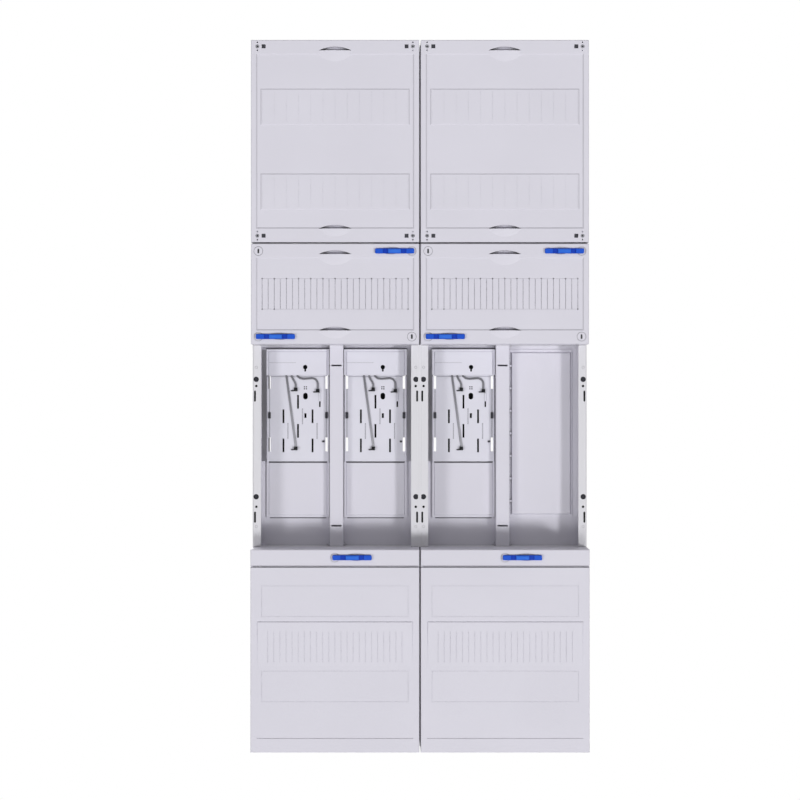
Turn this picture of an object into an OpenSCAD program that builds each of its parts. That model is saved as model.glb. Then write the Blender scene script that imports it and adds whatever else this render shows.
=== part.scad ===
// Two-field meter board: a rail frame for a meter cabinet with pull-off covers,
// plug-in meter places and a busbar space.
// X runs to the right, Y runs from the front to the wall and Z runs up.
// The origin is the middle of the rear fixing holes, on the wall plane.

/* [Board] */
// Width of one field
field_w = 250; // [246:1:270]
// Height of one cover module
unit_h = 150; // [148:1:165]
// Cover modules in front of the upper device space
upper_units = 2; // [2:1:3]
// Cover modules in front of the breaker row
breaker_units = 1; // [1:1:2]
// Cover modules of the open meter space
meter_units = 2; // [2:1:3]
// Cover modules in front of the busbar space
lower_units = 2; // [2:1:3]
// Gap between neighbouring covers
cover_gap = 2; // [1:0.5:3]

/* [Rails] */
// Depth from the wall to the rail's front face
rail_depth = 90; // [80:1:110]
// Width of the rail's front face
rail_face_w = 12.5; // [12:0.5:14]
// Width of the rail's rear flange
rail_back_w = 20.5; // [20:0.5:26]
// Sheet thickness of the rails and cross rails
sheet_t = 2; // [1.5:0.25:2.5]
// Outer bend radius of the rails
bend_r = 3; // [2.75:0.25:4]
// Gap between the two rails in the middle of the board
rail_gap = 0.5; // [0.5:0.5:2]
// Width of the lugs that take the cover fasteners
lug_w = 25; // [20:0.5:26]
// Height of a lug
lug_h = 20; // [16:1:20]
// Diameter of the rear fixing holes
fix_d = 6.6; // [5.5:0.1:9]
// Distance of the rear fixing holes from the field's edge
fix_edge = 12; // [10:0.5:14]
// Distance of the rear fixing holes from the board's ends
fix_end = 37.5; // [30:0.5:60]
// Depth of the cross rails
cross_depth = 62; // [40:1:64]
// Clearance between the fasteners' tips and the cross rails
cross_gap = 1; // [0.5:0.25:3]
// Height of a cross rail's rear web
cross_web_h = 30; // [20:1:40]
// Height of a cross rail's front lip
cross_lip_h = 18; // [17:0.5:20]

/* [Rail holes] */
// Diameter of the large holes in the rail's face
large_hole_d = 8; // [5:0.1:8.2]
// Diameter of the small holes in the rail's face
small_hole_d = 3.2; // [2:0.1:5]
// Distance of the holes from the field's edge
hole_edge = 5.6; // [5:0.1:6.5]
// Shortfall of the large holes' pitch from the height of the meter space
hole_short = 124.5; // [110:0.5:140]
// Height of the hole group's middle above the middle of the meter space
hole_lift = 11.75; // [0:0.25:20]
// Drop from a large hole to the small hole below it, upper and lower group
small_drop = [10, 15]; // [8:0.5:16]
// Drop from a large hole to the slot's middle below it, upper and lower group
slot_drop = [25, 30.5]; // [24:0.5:40]
// Length of the rail slots
rail_slot_l = 16; // [10:0.5:18]
// Width of the rail slots
rail_slot_w = 2.2; // [1.5:0.1:3]
// Distance of the rail slots from the field's edge
slot_edge = 3.6; // [3:0.1:4.5]
// Height of the embossed ring above a large hole, upper and lower group
mark_step = [18, -44.5]; // [-50:0.5:50]
// Diameter of the embossed rings
mark_d = 4.4; // [3:0.2:6]

/* [Covers] */
// Depth of the upper and breaker covers
upper_hood = 49; // [42:1:60]
// Depth of the lower covers
lower_hood = 60; // [50:1:75]
// Wall thickness of the covers
wall = 2; // [1.5:0.25:2.5]
// Thickness of a cover's front
face_t = 3.5; // [3.5:0.25:5]
// Bevel round a cover's front edge
edge_bevel = 1; // [0.5:0.25:1.5]
// Width of the rim beside the sunk panel
rim_side = 7.5; // [7:0.5:10]
// Height of the rim above and below the sunk panel
rim_end = 20; // [19:0.5:22]
// Depth of the sunk panel
panel_sink = 1; // [0.5:0.25:1.25]
// Run of the slope round the sunk panel
panel_slope = 2; // [1:0.25:3]
// Clearance between a cover and the rails behind it
seat_gap = 0.1; // [0.05:0.05:0.3]
// Clearance between a cover's bosses and the rails
boss_gap = 0.5; // [0.3:0.1:1]

/* [Device rows] */
// Shortfall of the device rows' pitch from half the height of the upper space
row_close = 25; // [20:1:40]
// Drop of the device rows below the middle of the upper space
row_drop = 12; // [0:0.5:14]
// Distance of a raised device field from the cover's sides
pad_side = 14; // [13:0.5:20]
// Height of a raised device field
pad_h = 53.5; // [48:0.5:60]
// Rise of a device field above the sunk panel
pad_rise = 0.75; // [0.5:0.25:1]
// Run of the slope round a device field
pad_slope = 1.5; // [1:0.25:2]
// Distance of a row of modules from the cover's sides
row_side = 16.5; // [15:0.5:22]
// Number of modules in a row
module_count = 12; // [10:1:12]
// Height of the cut-out for devices
cutout_h = 45; // [40:1:47]
// Width of the scored lines
score_w = 1; // [0.5:0.1:1.2]
// Depth of the scored lines
score_d = 0.8; // [0.3:0.1:1]
// Diameter of the start holes at the scored lines
start_hole_d = 2.2; // [1.5:0.1:3]
// Height of the device rails
din_h = 35; // [35:1:35]
// Depth of the device rails
din_depth = 7.5; // [7.5:0.5:15]
// Height of the device rail's back
din_back_h = 25; // [24:0.5:27]
// Sheet thickness of the device rails
din_t = 1; // [1:0.25:1.5]
// Number of slots in a device rail
din_slot_count = 9; // [7:1:10]
// Distance of the outer slots from the device rail's ends
din_slot_end = 21.75; // [15:0.25:30]
// Length of the slots in a device rail
din_slot_l = 15; // [10:0.5:18]
// Width of the slots in a device rail
din_slot_w = 6.2; // [4.5:0.1:6.5]

/* [Finger grips] */
// Width of a finger grip
grip_w = 48.5; // [40:0.5:56]
// Height of the grip's pocket at its middle
grip_h = 5.6; // [4:0.2:7]
// Depth of the grip's pocket
grip_depth = 9; // [6:0.5:14]
// Height of the lip below the pocket
lip_h = 12; // [9:0.5:13]
// Radius of the lip's round face
lip_r = 140; // [70:1:160]
// Distance of the upper grip from the cover's upper edge
grip_top = 15.5; // [13:0.5:18]
// Distance of the lower grip from the cover's lower edge
grip_bottom = 20; // [18:0.5:26]

/* [Fasteners] */
// Distance of the breaker cover's fasteners from its edges
latch_edge = 11; // [10:0.5:12]
// Diameter of the latch shafts
shaft_d = 6; // [5:0.25:6.5]
// Running clearance round a latch shaft, on the radius
shaft_fit = 0.05; // [0.02:0.01:0.1]
// Clearance round a shaft in its lug, on the radius
lug_fit = 0.3; // [0.2:0.05:0.5]
// Length of a shaft behind the sheet that takes it
shaft_tail = 4; // [2:0.5:8]
// Diameter of the latch heads
head_d = 12.6; // [11:0.1:13]
// Thickness of the latch heads
head_t = 2.4; // [1.2:0.1:2.6]
// Clearance round a latch head
head_gap = 0.5; // [0.2:0.05:0.6]
// Width of the screwdriver slot
driver_slot_w = 2.6; // [1.5:0.1:3]
// Length of the screwdriver slot
driver_slot_l = 7; // [5:0.5:10]
// Depth of the screwdriver slot
driver_slot_d = 2; // [0.6:0.1:2]
// Wall round the latch shafts behind the cover's front
boss_wall = 3; // [2:0.25:3.5]
// Distance of the sealing screws from the upper cover's edges
seal_edge = 9.5; // [9:0.5:11]
// Diameter of the sealing screws' heads
seal_head_d = 4.6; // [4:0.1:5]
// Diameter of the sealing screws' shanks
seal_shank_d = 3.5; // [3:0.1:3.5]
// Distance of the seal wire holes from the sealing screw
seal_wire_step = 5.9; // [5:0.1:6.5]
// Diameter of the seal wire holes
seal_wire_d = 2.2; // [1.5:0.1:2.5]
// Size of the square test window
test_window = 5.8; // [4:0.1:6]
// Distance of the test window from the sealing screw
test_step = 9.2; // [9:0.1:11]

/* [Levers] */
// Reach of a lever from its pivot to its tip
lever_reach = 54; // [45:1:60]
// Length of a lever behind its pivot
lever_heel = 3.5; // [3.5:0.25:5]
// Width of a lever
lever_w = 7.4; // [7:0.2:9]
// Thickness of a lever
lever_t = 4; // [3:0.25:6]
// Bevel round a lever's front edge
lever_bevel = 0.8; // [0.4:0.1:1.2]
// Start of the lever's raised grip, from the pivot
lever_grip_at = 15.6; // [14:0.1:18]
// Length of the lever's raised grip
lever_grip_l = 19.7; // [15:0.1:24]
// Rise of the lever's raised grip
lever_grip_rise = 0.8; // [0.4:0.1:1.2]
// Length of the scoops beside the lever's raised grip
lever_scoop_l = 7.4; // [4:0.2:8]
// Depth of the scoops beside the lever's raised grip
lever_scoop_d = 1.6; // [0.8:0.1:2]
// Depth of the dish under a lever
dish_depth = 2.2; // [1.5:0.1:2.4]
// Length of the dish under a lever
dish_l = 30; // [24:0.5:36]
// Width of the dish under a lever
dish_w = 12; // [11:0.5:14]
// Middle of the dish, from the pivot
dish_at = 31.5; // [28:0.5:34]
// Height of the dish's middle above the lever's middle
dish_lift = 1.2; // [0:0.1:2]

/* [Lower cover] */
// Height of the lock strip along the upper edge
strip_h = 23.5; // [22:0.5:28]
// Thickness of the lock strip
strip_t = 4; // [3:0.25:6]
// Height of the groove below the lock strip
groove_h = 3; // [2:0.5:6]
// Distance of the ends of the fold line from the lower cover's sides
fold_line_side = 9.5; // [6:0.5:14]
// Height of the middle field above the lower cover's middle
mid_field_lift = 11; // [0:0.5:14]
// Distance of the ribbed middle field from the cover's sides
mid_field_side = 10.5; // [6:0.5:16]
// Gap between the middle field and the outlined fields
mid_field_gap = 7.25; // [4:0.25:12]
// Rise of the middle field at its upper edge
mid_field_rise = 1.8; // [1:0.2:3]
// Distance of the ribs from the middle field's upper edge
rib_top = 15; // [10:0.5:20]
// Distance of the ribs from the middle field's lower edge
rib_bottom = 6; // [4:0.5:12]
// Distance of the ribs from the middle field's sides
rib_side = 12.5; // [8:0.5:30]
// Height of the fold line above the cover's lower edge
fold_line_lift = 21; // [15:0.5:30]
// Diameter of the locating pegs at the lower corners
peg_d = 6; // [5:0.25:6.5]

/* [Meter space] */
// Depth of the meter plates behind the rails' front face
plate_recess = 35; // [30:1:40]
// Distance of the meter inserts from the field's edge
insert_edge = 19.25; // [17:0.25:22]
// Distance of the meter inserts from the meter space's upper edge
insert_drop = 5; // [3:0.5:10]
// Distance of the meter inserts from the meter space's lower edge
insert_lift = 41.5; // [34:0.5:44]
// Thickness of a meter insert
insert_t = 5; // [4:0.5:7]
// Width of the sunk rim round an insert's caps
insert_rim = 3; // [2:0.25:4]
// Width of the seat behind an insert's edge
insert_seat = 1.6; // [1.2:0.1:2]
// Gap between two pieces of an insert
insert_gap = 1.5; // [0.5:0.25:2]
// Height of the insert's upper shroud
shroud_h = 39; // [34:0.5:44]
// Rise of the shroud above the meter plate
shroud_rise = 7; // [5:0.5:10]
// Wall thickness of the shroud and the lower panel
shell_t = 2; // [1.5:0.25:2.5]
// Height of the meter plate
plate_h = 130; // [124:0.5:136]
// Height of the keyhole above the shroud's lower edge
key_lift = 12.2; // [10:0.1:16]
// Height of the label line above the shroud's lower edge
label_lift = 19; // [17:0.5:26]
// Length of the label line
label_l = 41; // [30:1:44]
// Thickness of the carrier frame
carrier_t = 4; // [3:0.5:6]
// Clearance between the carrier frame and the rails
carrier_gap = 1.2; // [0.5:0.1:2]
// Width of the gap in the carrier beside a meter plate
side_gap_w = 8; // [5:0.5:9]
// Width of the gap in the carrier beside an insert's lower panel
low_gap_w = 2; // [1:0.25:4]
// Height of the grooves in the carrier above and below an insert
foot_groove_h = 1.8; // [0.8:0.1:2]
// Depth of the grooves in the carrier above and below an insert
foot_groove_d = 3; // [2:0.25:3]
// Distance of the groove below an insert from the insert's sides
foot_groove_side = 4.5; // [3:0.5:8]
// Width of the middle bar
bar_w = 20.6; // [16:0.2:24]
// Rise of the middle bar above the meter plates
bar_rise = 15; // [10:0.5:20]
// Gap between the middle bar and an insert
bar_gap = 0.95; // [0.5:0.05:2]
// Length of the slots in the middle bar
bar_slot_l = 15.6; // [10:0.2:17]
// Width of the slots in the middle bar
bar_slot_w = 2.4; // [1.5:0.1:4]
// Distance of the middle bar's slots from the inserts' ends
bar_slot_in = 6.25; // [4:0.25:12]
// Height of the middle bar's foot
bar_foot_h = 3; // [2:0.5:6]

/* [Meter plate] */
// Pitch of the staggered contact slots
contact_pitch = 22; // [21.5:0.5:23]
// Length of a contact slot
contact_l = 20.6; // [16:0.2:20.8]
// Width of a contact slot
contact_w = 2.8; // [2:0.1:4]
// Height of the upper contact slot above the plate's lower edge
contact_lift = 90; // [88:0.5:92]
// Sideways place of the keyhole and the oval hole
key_at = 11.2; // [10.5:0.1:12.5]
// Head diameter of the keyhole
key_d = 6.6; // [5:0.1:8]
// Width of the keyhole's neck
key_neck = 2.6; // [2:0.1:4]
// Width of the side windows
side_window_w = 3.6; // [2.5:0.1:4]
// Distance of the side windows from the plate's edge
side_window_edge = 2.4; // [2:0.1:3]
// Thickness of the contact blades
jaw_t = 0.8; // [0.5:0.1:1.2]
// Depth of the contact blades behind the plate
jaw_depth = 14; // [8:0.5:18]
// Distance of the contact housing from the plate's lower edge
housing_lift = 4; // [2:0.5:10]
// Height of the contact housing above the shroud's lower edge
housing_over = 22; // [20:0.5:28]
// Size of the terminals
terminal_s = 5; // [4:0.25:6]
// Height of the terminals above the plate
terminal_rise = 4; // [3:0.25:6]
// Diameter of the meter wires
wire_d = 2.5; // [1.5:0.1:3]

/* [Blank panel] */
// Thickness of the blank panel's flange
blank_flange_t = 1.5; // [1:0.25:3]
// Width of the flange beside the blank panel's tray
blank_side = 1.75; // [1.5:0.25:4]
// Height of the flange above and below the blank panel's tray
blank_end = 3.75; // [2:0.25:6]
// Run of the tray's sloping sides
blank_run = 2; // [1:0.25:3]
// Pitch of the snap tabs along the blank panel's edge
tab_pitch = 34; // [30:1:50]

/* [Busbars] */
// Height of a busbar
busbar_h = 12; // [8:0.5:16]
// Thickness of a busbar
busbar_t = 5; // [4:0.5:6]
// Pitch of the busbars
busbar_pitch = 40; // [36:1:44]
// Number of busbars
busbar_count = 5; // [3:1:5]
// Width of a busbar support
support_w = 24; // [20:0.5:28]
// Depth of a busbar support
support_depth = 20; // [16:0.5:26]
// Clearance round a busbar in its support
busbar_fit = 0.3; // [0.1:0.1:0.5]

/* [Hidden] */
$fn = 48;
eps = 0.01;

// Colours
cover_grey = [0.84, 0.83, 0.87];
rail_grey = [0.84, 0.83, 0.85];
plate_grey = [0.82, 0.81, 0.86];
lever_blue = [0.15, 0.34, 0.76];
zinc = [0.72, 0.74, 0.76];
copper = [0.76, 0.47, 0.32];
brass = [0.80, 0.66, 0.36];
black = [0.10, 0.10, 0.11];
wire_grey = [0.55, 0.55, 0.58];
support_grey = [0.30, 0.30, 0.32];

// Levels of the cover rows, from the middle of the board
board_h = (upper_units + breaker_units + meter_units + lower_units) * unit_h;
z_base = -board_h / 2;
z_lower = z_base + lower_units * unit_h;
z_meter = z_lower + meter_units * unit_h;
z_breaker = z_meter + breaker_units * unit_h;
z_top = z_breaker + upper_units * unit_h;

// Planes, from the wall to the front
y_rail = -rail_depth;
y_seat = y_rail - seat_gap;
y_upper = y_rail - upper_hood;
y_lower = y_rail - lower_hood;
y_plate = y_rail + plate_recess;
y_carrier = y_plate + insert_t;
y_bar = y_plate - bar_rise;
y_shroud = y_plate - shroud_rise;
y_cross = y_rail + sheet_t + shaft_tail + cross_gap;

// Fields and covers
LEFT = -1;
RIGHT = 1;
field_half = field_w / 2;
cover_w = field_w - cover_gap;
upper_h = upper_units * unit_h - cover_gap;
breaker_h = breaker_units * unit_h - cover_gap;
lower_h = lower_units * unit_h - cover_gap;
module_w = (cover_w - 2 * row_side) / module_count;
pad_w = cover_w - 2 * pad_side;
row_pitch = upper_units * unit_h / 2 - row_close;
mid_field_w = cover_w - 2 * mid_field_side;
mid_field_h = row_pitch - cutout_h - 2 * mid_field_gap;
rib_h = mid_field_h - rib_top - rib_bottom;
upper_mid = (z_breaker + z_top) / 2;
breaker_mid = (z_meter + z_breaker) / 2;
lower_mid = (z_base + z_lower) / 2;
meter_mid = (z_lower + z_meter) / 2;

// Fastener places, from the middle of a field
latch_x = cover_w / 2 - latch_edge;
latch_z = breaker_h / 2 - latch_edge;
seal_x = cover_w / 2 - seal_edge;
seal_z = upper_h / 2 - seal_edge;
peg_x = latch_x;
peg_z = lower_h / 2 - latch_edge;
lower_lever_z = lower_h / 2 - strip_h / 2;
boss_d = shaft_d + 2 * boss_wall;
lug_hole_d = shaft_d + 2 * lug_fit;
seal_lug_hole_d = seal_shank_d + 2 * lug_fit;
peg_hole_d = peg_d + 2 * lug_fit;
lever_gap = 0.3;

// Meter inserts, from the middle of a field or of a bay
insert_w = field_half - insert_edge - bar_w / 2 - bar_gap;
insert_h = meter_units * unit_h - insert_lift - insert_drop;
hole_pitch = meter_units * unit_h - hole_short;
bar_slot_pitch = insert_h - 2 * bar_slot_in;
bay_x = bar_w / 2 + bar_gap + insert_w / 2;
z_insert = z_lower + insert_lift;
z_plate = z_insert + insert_h - shroud_h - plate_h;
bay_window_w = insert_w - 2 * insert_seat;
web_inside = field_w - rail_gap - 2 * sheet_t;
ledge_z = z_lower - cover_gap / 2;
soffit_z = z_meter + cover_gap / 2;

// Bays that hold a meter insert, as field side and bay side
BAYS = [[LEFT, LEFT], [LEFT, RIGHT], [RIGHT, LEFT]];

// Device row heights
row_low = upper_mid - row_drop - row_pitch / 2;
row_high = row_low + row_pitch;

// Places on the meter plate, from the bay's middle and the plate's lower edge
oval_drop = 31.5;
oval_w = 7;
oval_h = 10;
slit_drop = 61;
slit_w = 3.2;
slit_h = 7.2;
dot_drop = 19;
dot_step = 3;
dot_d = 2;
groove_step = 6.8;
groove_w = 1.5;
groove_l = 23.5;
window_x = insert_w / 2 - side_window_edge - side_window_w / 2;
housing_w = 2 * (window_x - side_window_w / 2 - shell_t);
low_window_at = 15;
low_window_h = 21;
high_window_drop = 1.3;
high_window_h = 19.2;
low_window = [low_window_at, low_window_at + low_window_h];
high_window = [plate_h - high_window_drop - high_window_h, plate_h - high_window_drop];
catch_drop = 60.5;
catch_w = 3.6;
catch_h = 9;
clip_edge = 8.7;
clip_lift = 30;
clip_w = 3.2;
clip_h = 2.4;
left_at = -3.3;
right_edge = 17.25;
right_at = insert_w / 2 - right_edge;
left_drop = 21.5;
right_drop = 23.5;
low_lift = 19.5;
terminal_places = [[left_at, plate_h - left_drop], [right_at, plate_h - right_drop], [left_at, low_lift]];
arm_l = 4.5;
arm_h = 1.2;
tongue_edge = 14.25;
tongue_w = 2.4;
tongue_rise = 1;
tongue_drop = 27;
tongue_h = 12;
tongue_slot_h = 8.5;
tongue_gap = 0.5;
tongue_foot = plate_h - tongue_drop - tongue_h;
tongue_span = [tongue_foot, tongue_foot + tongue_h];
tongue_slot = [tongue_foot - tongue_gap - tongue_slot_h, tongue_foot - tongue_gap];

// Routes of the meter wires, from the bay's middle and the plate's lower edge
wire_top = plate_h + 4;
low_end = terminal_places[2][1] + terminal_s / 2;
left_end = terminal_places[0][1] + terminal_s / 2;
right_end = terminal_places[1][1] + terminal_s / 2;
wire_routes = [
    [[-18, wire_top], [-4.2, low_end + 9], [left_at, low_end + 3], [left_at, low_end]],
    [
        [-10, wire_top], [-9.3, plate_h - 2], [-7.5, plate_h - 6], [-4.8, plate_h - 10],
        [left_at, plate_h - 14], [left_at, left_end]
    ],
    [
        [-2, wire_top], [-0.5, plate_h - 1.5], [3, plate_h - 4.5], [0.3 * right_at, plate_h - 5.5],
        [0.5 * right_at, plate_h - 5], [right_at - 8, plate_h - 4.5], [right_at - 3.5, plate_h - 6],
        [right_at - 0.8, plate_h - 9.5], [right_at, plate_h - 13], [right_at, right_end]
    ]
];
wire_sides = 8;

// Flat shapes

// Rectangle with round corners, centred
module rounded_rect(w, h, r) {
    square([w - 2 * r, h], center = true);
    square([w, h - 2 * r], center = true);
    for (x = [-1, 1], y = [-1, 1])
        translate([x * (w / 2 - r), y * (h / 2 - r)]) circle(r);
}

// Slot with round ends, centred, longest along Y
module obround(w, l) {
    square([w, l - w], center = true);
    for (s = [-1, 1])
        translate([0, s * (l - w) / 2]) circle(d = w);
}

// Ring of outer diameter d and width w
module ring(d, w) {
    difference() {
        circle(d = d);
        circle(d = d - 2 * w);
    }
}

// Part of a disc above a chord of width w, with height h
module disc_segment(w, h) {
    r = (w * w / 4 + h * h) / (2 * h);
    intersection() {
        translate([0, h - r]) circle(r, $fn = 96);
        translate([-w, 0]) square([2 * w, h + 1]);
    }
}

// Solids that face the front

// Flat shape in X and Z, from its back face towards the front
module panel(y_back, y_front) {
    translate([0, y_back, 0])
        rotate([90, 0, 0])
            linear_extrude(y_back - y_front) children();
}

// Box between two planes, centred in X and Z
module block(w, h, y_back, y_front) {
    translate([-w / 2, y_front, -h / 2]) cube([w, y_back - y_front, h]);
}

// Block whose size runs from w0 by h0 at y0 to w1 by h1 at y1
module frustum(w0, h0, y0, w1, h1, y1) {
    intersection() {
        linear_extrude(max(h0, h1), center = true)
            polygon([[-w0 / 2, y0], [w0 / 2, y0], [w1 / 2, y1], [-w1 / 2, y1]]);
        rotate([0, -90, 0])
            linear_extrude(max(w0, w1), center = true)
                polygon([[-h0 / 2, y0], [h0 / 2, y0], [h1 / 2, y1], [-h1 / 2, y1]]);
    }
}

// Outline of a block with a bevel b at its front, across a width w
function bevel_outline(w, y_back, y_front, b) = [
    [-w / 2, y_back], [w / 2, y_back], [w / 2, y_front + b],
    [w / 2 - b, y_front], [b - w / 2, y_front], [-w / 2, y_front + b]
];

// Block with a bevel b round its front face
module bevel_block(w, h, y_back, y_front, b) {
    intersection() {
        linear_extrude(h, center = true) polygon(bevel_outline(w, y_back, y_front, b));
        rotate([0, -90, 0])
            linear_extrude(w, center = true) polygon(bevel_outline(h, y_back, y_front, b));
    }
}

// Round bar or bore along Y
module y_rod(d, y_back, y_front) {
    translate([0, y_back, 0]) rotate([90, 0, 0]) cylinder(d = d, h = y_back - y_front);
}

// Places children on a field's middle line
module in_field(side) {
    translate([side * field_half, 0, 0]) children();
}

// Places children in a bay, at the lower edge of its meter plate
module in_bay(bay) {
    translate([bay[0] * field_half + bay[1] * bay_x, 0, z_plate]) children();
}

// Cover shell that is open to the back, with bevelled front edges
module hood(h, y_front) {
    difference() {
        bevel_block(cover_w, h, y_seat, y_front, edge_bevel);
        block(cover_w - 2 * wall, h - 2 * wall, 0, y_front + face_t);
    }
}

// Sunk panel in a cover's front, to be cut
module panel_cut(h, y_front) {
    w = cover_w - 2 * rim_side;
    ph = h - 2 * rim_end;
    y_floor = y_front + panel_sink;
    frustum(w, ph, y_front - eps, w - 2 * panel_slope, ph - 2 * panel_slope, y_floor);
}

// Raised device field on the sunk panel
module device_pad(y_front) {
    y_floor = y_front + panel_sink;
    frustum(pad_w, pad_h, y_floor + eps,
        pad_w - 2 * pad_slope, pad_h - 2 * pad_slope, y_floor - pad_rise);
}

// Round lip that stands out below a finger pocket
module grip_lip(y_front) {
    cap_r = (grip_w * grip_w / 4 + lip_h * lip_h) / (2 * lip_h);
    y_middle = y_front + sqrt(lip_r * lip_r - cap_r * cap_r);
    intersection() {
        translate([0, y_middle, cap_r - lip_h]) sphere(lip_r, $fn = 96);
        translate([-grip_w, y_front - lip_r, -2 * lip_h])
            cube([2 * grip_w, lip_r + panel_sink + eps, 2 * lip_h]);
    }
}

// Housing behind a finger pocket
module grip_housing(y_front) {
    translate([0, 0, grip_h / 2])
        block(grip_w + 2 * wall, grip_h + 2 * wall,
            y_front + grip_depth + wall, y_front + panel_sink + eps);
}

// Finger pocket, to be cut
module grip_pocket(y_front) {
    panel(y_front + grip_depth, y_front - lip_h) disc_segment(grip_w, grip_h);
}

// Heights of a cover's two grips from its middle
function grip_levels(h) = [h / 2 - grip_top, grip_bottom - h / 2];

// Dish that leaves room for a fingertip behind a lever, to be cut; lift is its offset from the lever
module lever_dish(y_front, lift) {
    axis_out = (dish_w * dish_w / 4 - dish_depth * dish_depth) / (2 * dish_depth);
    r_middle = axis_out + dish_depth;
    arc_r = (dish_l * dish_l / 4 + dish_depth * dish_depth) / (2 * dish_depth);
    translate([dish_at, y_front - axis_out, lift])
        rotate([0, 90, 0])
            rotate_extrude()
                intersection() {
                    translate([r_middle - arc_r, 0]) circle(arc_r, $fn = 96);
                    translate([0, -dish_l]) square([2 * r_middle, 2 * dish_l]);
                }
}

// Ring groove that frames a lever's pivot, to be cut
module pivot_ring(y_front) {
    panel(y_front + score_d, y_front - 1) ring(head_d + 2 * head_gap, 2 * head_gap);
}

// Frame

// Rail section: front face, web at the field's edge and rear flange
module rail_section() {
    over = 2 * rail_back_w;
    difference() {
        translate([over / 2, -rail_depth / 2]) rounded_rect(over, rail_depth, bend_r);
        translate([over / 2, -rail_depth / 2])
            rounded_rect(over - 2 * sheet_t, rail_depth - 2 * sheet_t, bend_r - sheet_t);
        translate([rail_back_w, -2 * rail_depth]) square([over, 4 * rail_depth]);
        translate([rail_face_w, -2 * rail_depth]) square([over, 1.5 * rail_depth]);
    }
}

// Lug on a rail's front face, at a height and with a hole at a distance from the edge
module rail_lug(z) {
    translate([bend_r, y_rail, z - lug_h / 2]) cube([lug_w - bend_r, sheet_t, lug_h]);
}

// Hole through a rail's front face
module face_hole(edge, z, d) {
    translate([edge, 0, z]) y_rod(d, y_rail + 2 * sheet_t, y_rail - 1);
}

// Rail at one edge of a field, drawn with the edge at X zero
module rail(side, edge) {
    edge_in = field_half - rail_gap / 2;
    seal_levels = [upper_mid + seal_z, upper_mid - seal_z];
    latch_levels = [breaker_mid + latch_z, breaker_mid - latch_z];
    peg_level = lower_mid - peg_z;
    color(rail_grey)
    translate([side * field_half + edge * edge_in, 0, 0])
        mirror([edge > 0 ? 1 : 0, 0, 0])
            difference() {
                union() {
                    translate([0, 0, z_base + cover_gap / 2])
                        linear_extrude(board_h - cover_gap) rail_section();
                    for (z = concat(seal_levels, latch_levels, [peg_level])) rail_lug(z);
                }
                for (z = seal_levels) face_hole(edge_in - seal_x, z, seal_lug_hole_d);
                for (z = latch_levels) face_hole(edge_in - latch_x, z, lug_hole_d);
                face_hole(edge_in - peg_x, peg_level, peg_hole_d);
                for (group = [0, 1]) {
                    z_group = meter_mid + hole_lift + (0.5 - group) * hole_pitch;
                    face_hole(hole_edge - rail_gap / 2, z_group, large_hole_d);
                    face_hole(hole_edge, z_group - small_drop[group], small_hole_d);
                    translate([slot_edge, 0, z_group - slot_drop[group]])
                        panel(y_rail + 2 * sheet_t, y_rail - 1) obround(rail_slot_w, rail_slot_l);
                    translate([hole_edge, 0, z_group + mark_step[group]])
                        panel(y_rail + score_d / 2, y_rail - 1) ring(mark_d, score_w);
                }
                for (end = [-1, 1])
                    translate([fix_edge - rail_gap / 2, 0, end * (board_h / 2 - fix_end)])
                        y_rod(fix_d, 1, -2 * sheet_t);
            }
}

// Cross rail of a field, with its flange towards the meter space
module cross_rail(side, upper) {
    z_flange = upper ? soffit_z : ledge_z;
    turn = upper ? 1 : 0;
    color(rail_grey)
    in_field(side)
        translate([0, 0, z_flange])
            mirror([0, 0, turn])
                difference() {
                    union() {
                        translate([-web_inside / 2, y_cross, -sheet_t])
                            cube([web_inside, cross_depth, sheet_t]);
                        translate([-web_inside / 2, y_cross, -cross_lip_h])
                            cube([web_inside, sheet_t, cross_lip_h]);
                        translate([-web_inside / 2, y_cross + cross_depth - sheet_t, -cross_web_h])
                            cube([web_inside, sheet_t, cross_web_h]);
                    }
                    if (!upper)
                        translate([0, 0, lower_mid + lower_lever_z - ledge_z])
                            y_rod(lug_hole_d, y_cross + 2 * sheet_t, y_cross - 1);
                }
}

// Device rail across the front faces of a field's two rails
module device_rail(side, z) {
    l = field_w - rail_gap - 2 * bend_r;
    flange = (din_h - din_back_h) / 2;
    slot_pitch = (l - 2 * din_slot_end) / (din_slot_count - 1);
    color(zinc)
    in_field(side)
        translate([0, y_rail, z])
            difference() {
                rotate([0, 90, 0])
                    linear_extrude(l, center = true)
                        union() {
                            translate([-din_back_h / 2, -din_t]) square([din_back_h, din_t]);
                            for (s = [-1, 1]) {
                                translate([s * (din_back_h - din_t) / 2, -din_depth / 2])
                                    square([din_t, din_depth], center = true);
                                translate([s * (din_back_h + flange - din_t) / 2, -din_depth + din_t / 2])
                                    square([flange + din_t, din_t], center = true);
                            }
                        }
                for (i = [0 : din_slot_count - 1])
                    translate([(i - (din_slot_count - 1) / 2) * slot_pitch, 0, 0])
                        panel(1, -2 * din_t) rotate(90) obround(din_slot_w, din_slot_l);
            }
}

// Covers

// Boss behind a cover's front that guides a shaft
module shaft_boss(d, y_front) {
    y_rod(d, y_rail - boss_gap, y_front + panel_sink);
}

// Hole pattern in one corner of an upper cover, to be cut; inward is the way to the middle
module seal_corner(inward) {
    y_rod(seal_head_d + 2 * head_gap, y_upper + 2 * panel_sink, y_upper - 1);
    y_rod(seal_shank_d + 2 * shaft_fit, 0, y_upper - 1);
    for (s = [-1, 1])
        translate([0, 0, s * seal_wire_step]) y_rod(seal_wire_d, y_upper + 2 * face_t, y_upper - 1);
    translate([inward * test_step, 0, 0])
        block(test_window, test_window, y_upper + 2 * face_t, y_upper - 1);
}

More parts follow.
